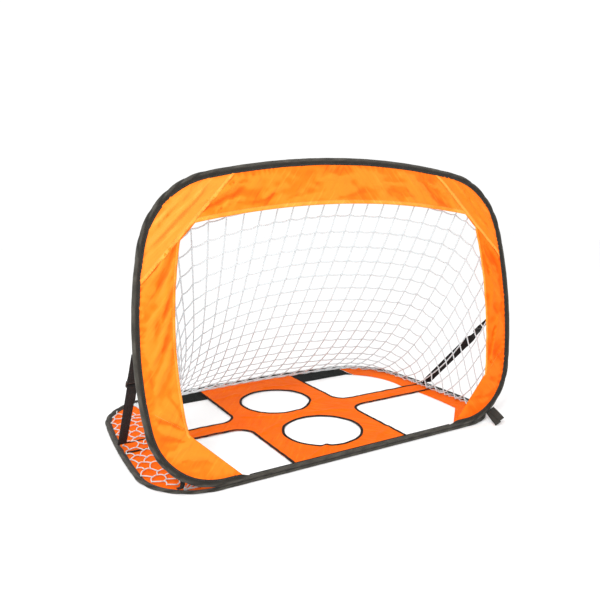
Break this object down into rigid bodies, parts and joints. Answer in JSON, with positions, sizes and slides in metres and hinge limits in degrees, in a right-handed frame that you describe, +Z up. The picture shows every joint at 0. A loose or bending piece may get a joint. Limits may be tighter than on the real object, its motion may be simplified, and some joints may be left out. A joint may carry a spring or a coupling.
{
  "type": "pop-up soccer goal",
  "caption": "Pop-up soccer goal: a fabric-covered hoop with a net stands on a ground hoop whose target sheet has ball holes; the front folds down flat.",
  "frame": {"origin": "on the ground at the middle of the goal line, under the joint between the two hoops", "axes": "+X along the goal line to the right of a player facing the goal mouth, +Y back into the goal, +Z up"},
  "size_m": [1.2028, 0.8181, 0.7998],
  "materials": {
    "steel_wire": "satin",
    "ferrule_steel": "satin",
    "sleeve_fabric": "matte",
    "orange_fabric": "satin",
    "target_fabric": "satin",
    "black_fabric": "matte",
    "binding_tape": "matte",
    "net_cord": "matte",
    "black_webbing": "matte",
    "charcoal_webbing": "matte",
    "buckle_plastic": "satin"
  },
  "bodies": {
    "ground_frame": {"ground_wire": "steel_wire", "ground_wire_ferrule": "ferrule_steel", "ground_sleeve_front": "sleeve_fabric", "ground_sleeve_left": "sleeve_fabric", "ground_sleeve_right": "sleeve_fabric", "ground_sleeve_back": "sleeve_fabric", "ground_panel_left": "target_fabric", "ground_panel_right": "target_fabric", "ground_panel_back": "black_fabric", "target_sheet": "target_fabric", "hole_binding_front": "binding_tape", "hole_binding_back": "binding_tape", "cross_binding_front_left": "binding_tape", "cross_binding_front_right": "binding_tape", "cross_binding_back_left": "binding_tape", "cross_binding_back_right": "binding_tape", "goal_net": "net_cord", "hinge_tape": "charcoal_webbing", "corner_tie_left": "black_webbing", "corner_tie_right": "black_webbing"},
    "goal_frame": {"front_wire": "steel_wire", "front_wire_ferrule": "ferrule_steel", "front_sleeve_bottom": "sleeve_fabric", "front_sleeve_left": "sleeve_fabric", "front_sleeve_right": "sleeve_fabric", "front_sleeve_top": "sleeve_fabric", "face_panel_left": "orange_fabric", "face_panel_right": "orange_fabric", "face_panel_top": "orange_fabric", "corner_patch_left": "orange_fabric", "corner_patch_right": "orange_fabric", "storage_loop": "charcoal_webbing"},
    "left_strap": {"side_strap_left": "black_webbing", "strap_tab_left": "black_webbing"},
    "left_buckle": {"strap_buckle_left": "buckle_plastic"},
    "right_strap": {"side_strap_right": "black_webbing", "strap_tab_right": "black_webbing"},
    "right_buckle": {"strap_buckle_right": "buckle_plastic"}
  },
  "joints": [
    {"name": "hoop_fold", "type": "hinge", "parent": "ground_frame", "child": "goal_frame", "pos_m": [0, 0, 0.0139], "axis": [-1, 0, 0], "range_deg": [0, 76], "stiffness_Nm_per_rad": 1.6, "springref_deg": -25.78, "deforming": ["goal_net", "side_strap_left", "side_strap_right", "strap_tab_left", "strap_tab_right", "corner_tie_left", "corner_tie_right"]},
    {"name": "left_strap_swing", "type": "hinge", "parent": "ground_frame", "child": "left_strap", "pos_m": [0, 0, 0.0139], "axis": [-1, 0, 0], "range_deg": [0, 58]},
    {"name": "left_buckle_tilt", "type": "hinge", "parent": "left_strap", "child": "left_buckle", "pos_m": [-0.57988, 0.13325, 0.26593], "axis": [0.9977, -0.047, 0.0498], "range_deg": [0, 35]},
    {"name": "right_strap_swing", "type": "hinge", "parent": "ground_frame", "child": "right_strap", "pos_m": [0, 0, 0.0139], "axis": [-1, 0, 0], "range_deg": [0, 58]},
    {"name": "right_buckle_tilt", "type": "hinge", "parent": "right_strap", "child": "right_buckle", "pos_m": [0.57988, 0.13325, 0.26593], "axis": [0.9977, 0.047, -0.0498], "range_deg": [0, 35]}
  ],
  "couplings": [
    {"joint": "left_strap_swing", "follows": "hoop_fold", "ratio": 0.756},
    {"joint": "right_strap_swing", "follows": "hoop_fold", "ratio": 0.756}
  ]
}
